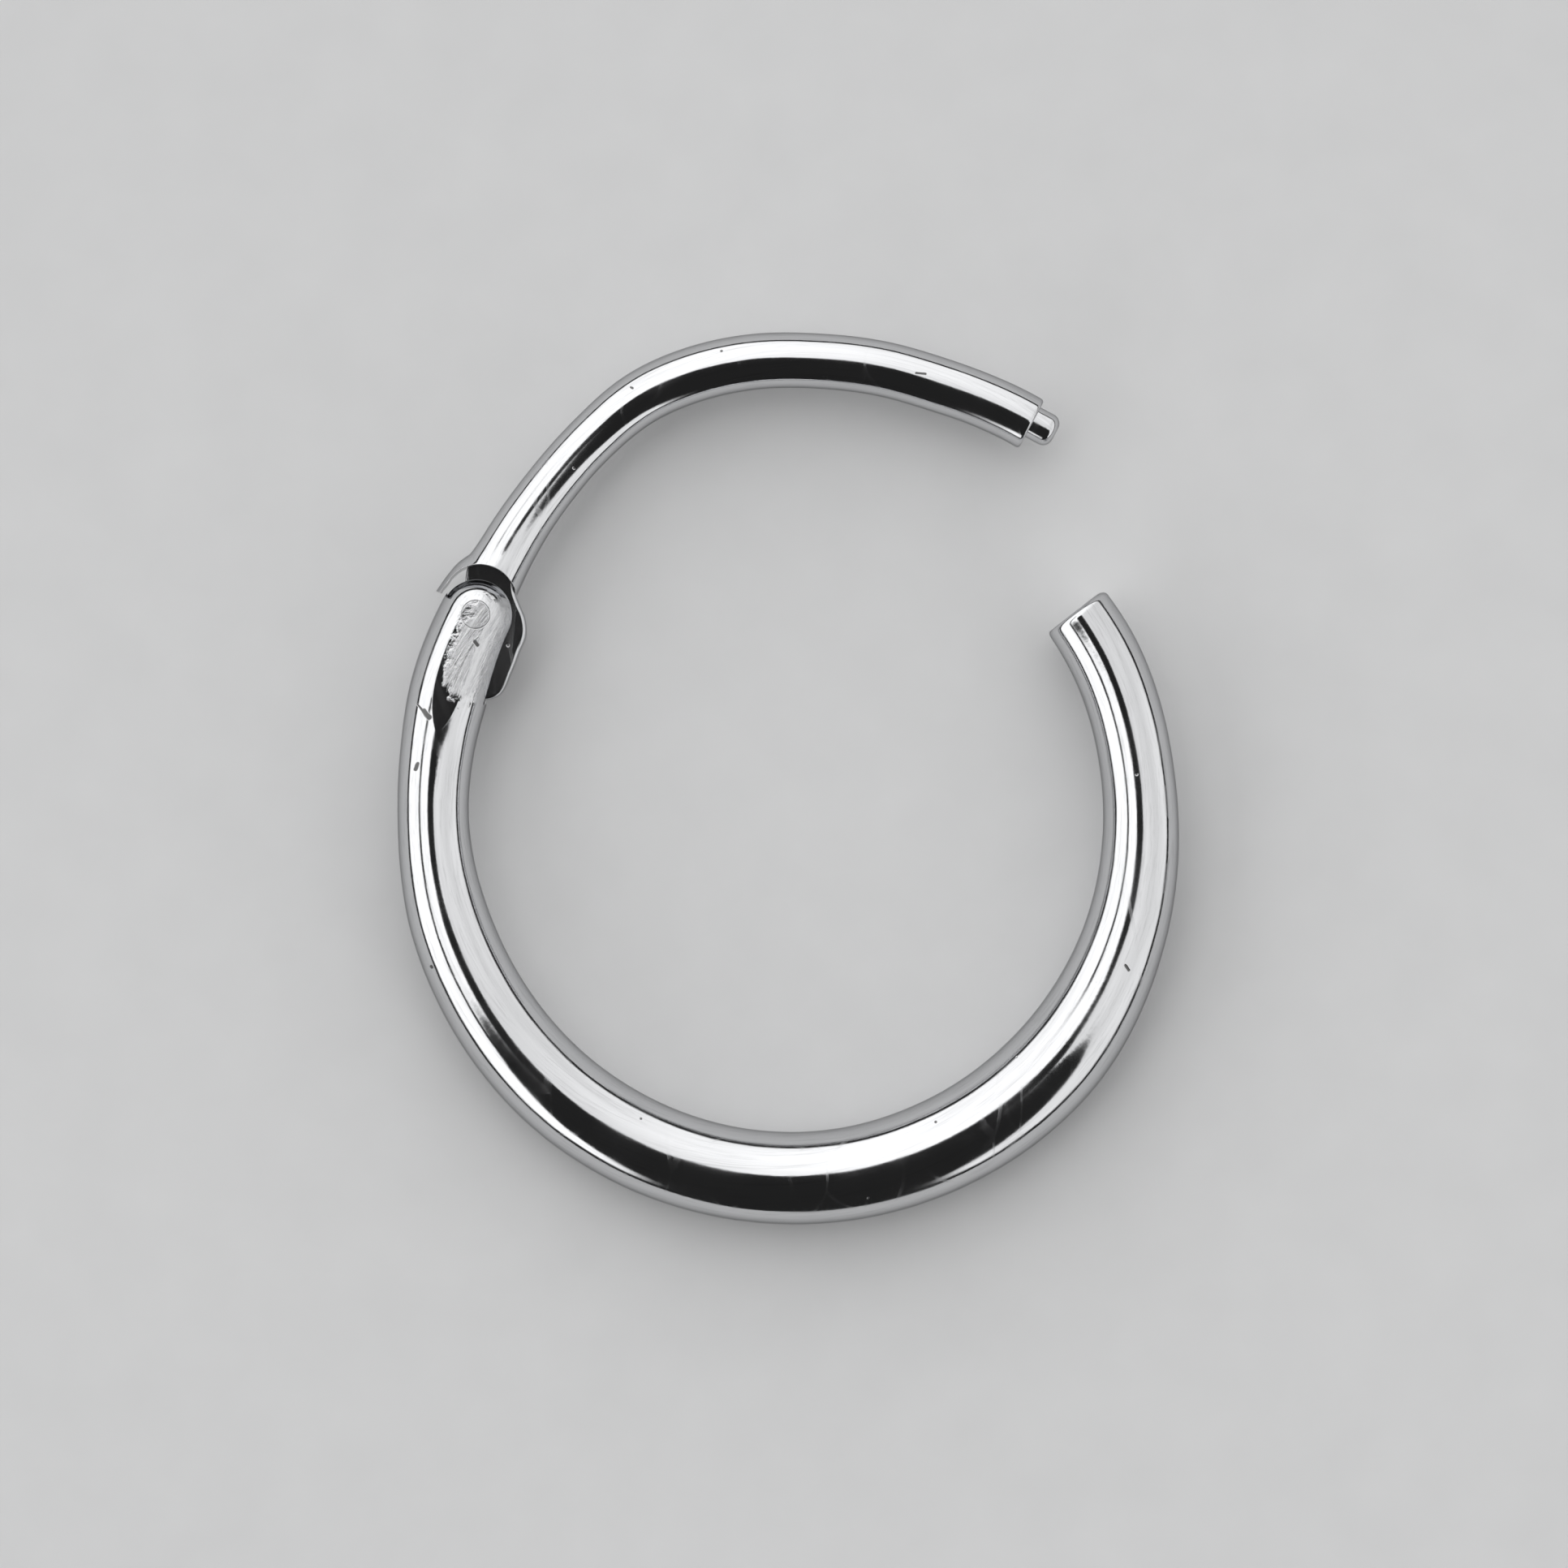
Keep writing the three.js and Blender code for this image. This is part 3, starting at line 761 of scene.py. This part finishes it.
def scratches_group():
    """Sparse handling scratches that cross each other."""
    group, source, sink = group_of("ShaderNodeTree", "handling_scratches", [
        ("Point", "NodeSocketVector", None),
        ("Per mm", "NodeSocketFloat", SCRATCHES_PER_MM),
        ("Width", "NodeSocketFloat", SCRATCH_WIDTH),
    ], [("Scratches", "NodeSocketFloat")])
    t = Tree(group)
    per_metre = t.math("DIVIDE", source.outputs["Per mm"], MM)
    total = 0.0
    for angle, shift in SCRATCH_SETS:
        rotation = (SCRATCH_TIP_PER_SHIFT * shift, SCRATCH_TIP, angle)
        turned = t.node("ShaderNodeMapping", Vector=source.outputs["Point"], Rotation=rotation,
                        Location=(shift * MM, 0, 0), Scale=(1.0, SCRATCH_STRETCH, 1.0)).outputs[0]
        cells = t.node("ShaderNodeTexVoronoi", {"feature": "DISTANCE_TO_EDGE"},
                       Vector=turned, Scale=per_metre)
        line = t.math("LESS_THAN", cells.outputs["Distance"], source.outputs["Width"])
        shown = t.ramp(t.noise(turned, SCRATCH_GAPS_PER_MM / MM), *SCRATCH_GAP_RANGE)
        total = t.math("ADD", total, t.math("MULTIPLY", line, shown))
    group.links.new(t.math("MINIMUM", total, 1.0), sink.inputs["Scratches"])
    return group


def near_line_group():
    """How near the ring's upper side is to a line on its middle plane, seen from above."""
    group, source, sink = group_of("ShaderNodeTree", "near_line", [
        ("Point", "NodeSocketVector", None),
        ("From", "NodeSocketVector", None),
        ("To", "NodeSocketVector", None),
        ("Width", "NodeSocketFloat", None),
        ("Raggedness", "NodeSocketFloat", None),
    ], [("Near", "NodeSocketFloat")])
    t = Tree(group)
    given = source.outputs
    along = t.vector("SUBTRACT", given["To"], given["From"])
    local = t.vector("SUBTRACT", given["Point"], given["From"])
    height = t.node("ShaderNodeSeparateXYZ", Vector=local).outputs[2]
    above = t.math("GREATER_THAN", height, 0.0)
    local = t.vector("MULTIPLY", local, (1.0, 1.0, 0.0))
    squared = t.vector("DOT_PRODUCT", along, along)
    share = t.math("DIVIDE", t.vector("DOT_PRODUCT", local, along), squared, clamp=True)
    nearest = t.vector("SCALE", along, share)
    away = t.math("DIVIDE", t.vector("DISTANCE", local, nearest), given["Width"])
    rough = t.noise(given["Point"], RAGS_PER_MM / MM, Detail=4.0)
    wander = t.math("MULTIPLY", t.math("SUBTRACT", rough, 0.5), given["Raggedness"])
    near = t.ramp(t.math("ADD", away, wander), *MARK_EDGE, *FADE_OUT)
    group.links.new(t.math("MULTIPLY", near, above), sink.inputs["Near"])
    return group


wire_loft = loft_group()
along_the_wire = wire_coordinates_group()
polish_lines = polish_lines_group()
casting_pits = pits_group()
handling_scratches = scratches_group()
near_line = near_line_group()


def steel_material(name, colour, centre, roughness, lines_per_mm, line_height, pit_share,
                   nicks=(), ground=None):
    """Polished steel: a mirror with wheel lines, worn patches, scratches, pits and nicks."""
    material = bpy.data.materials.new(name)
    material.use_nodes = True
    t = Tree(material.node_tree)
    shader = material.node_tree.nodes["Principled BSDF"]
    point = t.node("ShaderNodeTexCoord").outputs["Object"]
    run = t.group(along_the_wire, Point=point, Centre=tuple(centre))["Run"]
    polish = t.group(polish_lines, Run=run, Point=point, Lines_per_mm=lines_per_mm)
    scratches = t.group(handling_scratches, Point=point)["Scratches"]

    def near(mark, raggedness):
        start, end, width = mark
        return t.group(near_line, Point=point, From=tuple(start), To=tuple(end),
                       Width=width * MM, Raggedness=raggedness)["Near"]

    marks = t.group(casting_pits, Point=point, Share=pit_share)["Pits"]
    for nick in nicks:
        marks = t.math("MAXIMUM", marks, near(nick, NICK_RAGGEDNESS))

    rough = t.plus(roughness, polish["Worn patches"], WORN_ROUGHNESS)
    rough = t.plus(rough, polish["Lines"], LINE_ROUGHNESS)
    rough = t.plus(rough, scratches, SCRATCH_ROUGHNESS)
    rough = t.plus(rough, marks, MARK_ROUGHNESS)
    height = t.math("MULTIPLY", polish["Lines"], line_height)
    height = t.plus(height, polish["Facets"], FACET_HEIGHT)
    height = t.plus(height, polish["Grain"], GRAIN_HEIGHT)
    height = t.plus(height, scratches, SCRATCH_HEIGHT)
    height = t.plus(height, marks, MARK_HEIGHT)
    if ground:
        patch = near(ground, GROUND_RAGGEDNESS)
        gouges = t.noise(run, GOUGES_PER_MM / MM, Detail=5.0, Roughness=0.75, Distortion=1.2)
        height = t.plus(height, t.math("MULTIPLY", patch, gouges), GOUGE_HEIGHT)
        rough = t.plus(rough, patch, GROUND_ROUGHNESS)
    height = t.plus(height, t.noise(point, HOLLOWS_PER_MM / MM, Detail=2.0), HOLLOW_HEIGHT)

    # The colour is made darker in pits and nicks and along wheel lines and facets.
    streaks = t.ramp(polish["Lines"], *STREAK_RANGE, 0.0, STREAK_DARKNESS)
    streaks = t.plus(streaks, t.ramp(polish["Facets"], *FACET_RANGE), FACET_DARKNESS)
    darkened = t.math("MAXIMUM", t.math("MULTIPLY", marks, MARK_DARKNESS), streaks)
    soft_edge = t.node("ShaderNodeBevel", {"samples": BEVEL_SAMPLES}, Radius=EDGE_SOFTNESS * MM)
    bump = t.node("ShaderNodeBump", Height=height, Distance=HEIGHT_UNIT, Strength=1.0,
                  Normal=soft_edge.outputs[0])
    t.feed(shader, "Base Color", t.colour_mix(darkened, colour, DARKENED_TONE))
    t.feed(shader, "Roughness", rough)
    t.feed(shader, "Normal", bump.outputs[0])
    shader.inputs["Metallic"].default_value = 1.0
    shader.inputs["Specular Tint"].default_value = (*EDGE_TINT, 1)
    return material


# The photograph's side, the ring's centre in it and the ring's inner diameter, in pixels.
PHOTO_SIDE = 1932
PHOTO_CENTRE = (971, 1003)
PHOTO_INNER_DIAMETER = 779.4
PHOTO_SCALE = 2 * INNER_RADIUS / PHOTO_INNER_DIAMETER

# Marks as two places in the photograph, in pixels, and a width in millimetres.
BODY_NICKS = [
    ((516, 868), (525, 878), 0.022),
    ((525, 876), (531, 884), 0.045),
    ((517, 941), (514, 948), 0.035),
    ((533, 1190), (534, 1191), 0.03),
    ((587, 792), (590, 796), 0.035),
    ((1384, 1188), (1388, 1194), 0.03),
]
GATE_NICKS = [
    ((1128, 462), (1140, 463), 0.02),
    ((778, 479), (780, 480), 0.022),
]
GROUND_FLAT = ((600, 764), (577, 836), 0.42)


def photo_place(across, down):
    """A point on the wire's middle plane, from its place in the photograph."""
    right = (across - PHOTO_CENTRE[0]) * PHOTO_SCALE
    forward = (PHOTO_CENTRE[1] - down) * PHOTO_SCALE
    return ring_centre + Vector((right, forward, 0)) * MM


def placed(mark):
    start, end, width = mark
    return photo_place(*start), photo_place(*end), width


gate_centre = gate_to_frame @ Vector((0, 0, 0))
polished = steel_material("polished_steel", BRIGHT_STEEL, ring_centre, roughness=0.05,
                          lines_per_mm=26.0, line_height=0.3, pit_share=0.02,
                          nicks=map(placed, BODY_NICKS), ground=placed(GROUND_FLAT))
gate_steel = steel_material("gate_steel", BRIGHT_STEEL, gate_centre, roughness=0.045,
                            lines_per_mm=30.0, line_height=0.25, pit_share=0.012,
                            nicks=map(placed, GATE_NICKS))
cut_steel = steel_material("cut_steel", CUT_STEEL, ring_centre, roughness=0.06,
                           lines_per_mm=18.0, line_height=0.5, pit_share=0.03)
rivet_steel = steel_material("rivet_steel", RIVET_STEEL, ring_centre, roughness=0.08,
                             lines_per_mm=30.0, line_height=0.5, pit_share=0.06,
                             ground=placed(GROUND_FLAT))
stud_steel = steel_material("stud_steel", BRIGHT_STEEL, gate_centre, roughness=0.06,
                            lines_per_mm=40.0, line_height=0.4, pit_share=0.02)


def make_ring_body():
    piece = body_blank("ring_wire", polished)
    hole = upright_cylinder("pin_hole", PIN_DIAMETER / 2 + PIN_SEAT, pin, cut_steel)
    cut_or_join(piece, "DIFFERENCE", flat_tools(polished))
    cut_or_join(piece, "DIFFERENCE", [slot_tool(cut_steel), hole, socket_tool(cut_steel)])
    finish_piece(piece, to_frame, "ring_body", "ring")


def make_hinge_pin():
    piece = upright_cylinder("rivet", PIN_DIAMETER / 2, pin, rivet_steel)
    cut_or_join(piece, "INTERSECT", [body_blank("rivet_trim", rivet_steel)])
    cut_or_join(piece, "DIFFERENCE", flat_tools(rivet_steel))
    finish_piece(piece, to_frame, "hinge_pin", "ring")


def make_gate():
    setback = math.degrees(SHOULDER_SETBACK / pin.length)
    end = 1 - setback / (HINGE_ANGLE - tip_angle)
    sections = wire_sections(gate_sections, tip_angle, HINGE_ANGLE, end, GATE_STEPS,
                             GATE_CUT_ANGLE, GATE_END_ROUNDING, 0)
    piece = lofted_wire("gate_wire", sections, gate_steel)
    deeper = pin - towards_tail * (MOUTH_DEPTH + MOUTH_TAPER)
    mouths = [
        upright_cylinder("mouth_form", MOUTH_RADIUS, pin, cut_steel),
        upright_cylinder("mouth_form", MOUTH_RADIUS - MOUTH_TAPER, deeper, cut_steel),
    ]
    cut_or_join(piece, "DIFFERENCE", mouths)
    cut_or_join(piece, "UNION", [leaf_tool(cut_steel)])
    bore = collection_object("stud_bore", stud_mesh(STUD_SEAT, STUD_SHANK, cut_steel))
    cut_or_join(piece, "DIFFERENCE", [bore])
    finish_piece(piece, gate_to_frame, "gate", "gate")


def make_latch_stud():
    mesh = stud_mesh(0, STUD_SHANK - 2 * STUD_SEAT, stud_steel)
    piece = collection_object("catch_stud", mesh)
    finish_piece(piece, gate_to_frame, "latch_stud", "gate")


make_ring_body()
make_hinge_pin()
make_gate()
make_latch_stud()


# The floor, in metres.
FLOOR_HALF = 0.6
FLOOR_GRAINS = 900.0
FLOOR_TONES = ((0.66, 0.662, 0.665), (0.71, 0.712, 0.715))
FLOOR_ROUGHNESS = 0.9

# The light by the direction that it comes from. A direction is a vector of length 1, so a height
# is the sine of the angle above the floor. Each pair is where an edge starts and ends.
CAP_SHIFT = 0.10
CAP_EDGE = (0.15, 0.20)
FRONT_EDGE = (0.88, 0.95)
FRONT_WIDER_BY = 0.5
FRONT_HEIGHTS = (0.25, 0.97)
HORIZON_EDGE = (0.10, 0.17)
BAR_HEIGHT = 0.74
BAR_EDGE = (0.025, 0.045)
BAR_SIDE = (0.72, 0.86)
CLOTH_SCALE = 2.2
CLOTH_RANGE = (0.3, 0.7)
CLOTH_LIGHT = (0.84, 1.0)
SIDES_RANGE = (-0.8, 0.1)
SIDES_LIGHT = (0.68, 1.0)
LIGHT_STRENGTH = 1.6
DARK_STRENGTH = 0.02
SEEN_STRENGTH = 0.75
LEVEL_LEAST = 1e-4

# The camera, in millimetres of film.
LENS = 150.0
SENSOR = 36.0
CLIP_START = 0.001


def pale_floor():
    corners = [(x, y, 0) for x, y in ((-1, -1), (1, -1), (1, 1), (-1, 1))]
    mesh = mesh_from("floor", [Vector(c) * FLOOR_HALF for c in corners], [[0, 1, 2, 3]])
    floor = collection_object("floor", mesh)
    material = bpy.data.materials.new("pale_floor")
    material.use_nodes = True
    t = Tree(material.node_tree)
    shader = material.node_tree.nodes["Principled BSDF"]
    point = t.node("ShaderNodeTexCoord").outputs["Object"]
    grain = t.noise(point, FLOOR_GRAINS, Detail=3.0)
    t.feed(shader, "Base Color", t.colour_mix(grain, *FLOOR_TONES))
    shader.inputs["Roughness"].default_value = FLOOR_ROUGHNESS
    mesh.materials.append(material)


def studio_sky():
    """Soft light from behind and from both sides, open overhead and towards the front."""
    world = bpy.data.worlds.new("studio")
    bpy.context.scene.world = world
    world.use_nodes = True
    t = Tree(world.node_tree)
    background = world.node_tree.nodes["Background"]
    direction = t.node("ShaderNodeTexCoord").outputs["Generated"]
    x, y, z = t.node("ShaderNodeSeparateXYZ", Vector=direction).outputs
    level = t.math("SQRT", t.math("ADD", t.math("MULTIPLY", x, x), t.math("MULTIPLY", y, y)))
    level = t.math("MAXIMUM", level, LEVEL_LEAST)
    front = t.math("DIVIDE", t.math("MULTIPLY", y, -1.0), level)
    left = t.math("DIVIDE", t.math("MULTIPLY", x, -1.0), level)
    # The open gap overhead lies a little to the left.
    shifted = t.node("ShaderNodeCombineXYZ", X=t.math("ADD", x, CAP_SHIFT), Y=y)
    outside_cap = t.ramp(t.vector("LENGTH", shifted.outputs[0]), *CAP_EDGE)
    # The front gap is wider high up.
    wider = t.ramp(z, *FRONT_HEIGHTS, 0.0, FRONT_WIDER_BY)
    beside_front = t.ramp(t.math("ADD", front, wider), *FRONT_EDGE, *FADE_OUT)
    above_horizon = t.ramp(z, *HORIZON_EDGE)
    # A dark bar crosses the left light.
    from_bar = t.math("ABSOLUTE", t.math("SUBTRACT", z, BAR_HEIGHT))
    in_bar = t.math("MULTIPLY", t.ramp(left, *BAR_SIDE), t.ramp(from_bar, *BAR_EDGE, *FADE_OUT))
    beside_bar = t.math("SUBTRACT", 1.0, in_bar)
    cloth = t.ramp(t.noise(direction, CLOTH_SCALE, Detail=2.0), *CLOTH_RANGE, *CLOTH_LIGHT)
    # The right light is the weaker one.
    sides = t.ramp(left, *SIDES_RANGE, *SIDES_LIGHT)
    light = t.times(outside_cap, beside_front, above_horizon, beside_bar, cloth, sides)
    strength = t.plus(DARK_STRENGTH, light, LIGHT_STRENGTH)
    # The sky itself is seen plain, and only lights the ring with its bands.
    seen = t.node("ShaderNodeLightPath").outputs["Is Camera Ray"]
    shown = t.node("ShaderNodeMix", {"data_type": "FLOAT"}, Factor=seen)
    t.feed(shown, "2", strength)
    t.feed(shown, "3", SEEN_STRENGTH)
    t.feed(background, "Strength", shown.outputs[0])
    background.inputs["Color"].default_value = (1.0, 1.0, 1.0, 1)
    bpy.context.scene.view_settings.view_transform = "Standard"


def photo_camera():
    """Straight above, framed as the photograph is."""
    data = bpy.data.cameras.new("camera")
    data.lens = LENS
    data.sensor_width = SENSOR
    data.clip_start = CLIP_START
    camera = collection_object("camera", data)
    aim = photo_place(PHOTO_SIDE / 2, PHOTO_SIDE / 2)
    distance = PHOTO_SIDE * PHOTO_SCALE * MM * LENS / SENSOR
    camera.location = aim + UP * distance
    bpy.context.scene.camera = camera


pale_floor()
studio_sky()
photo_camera()
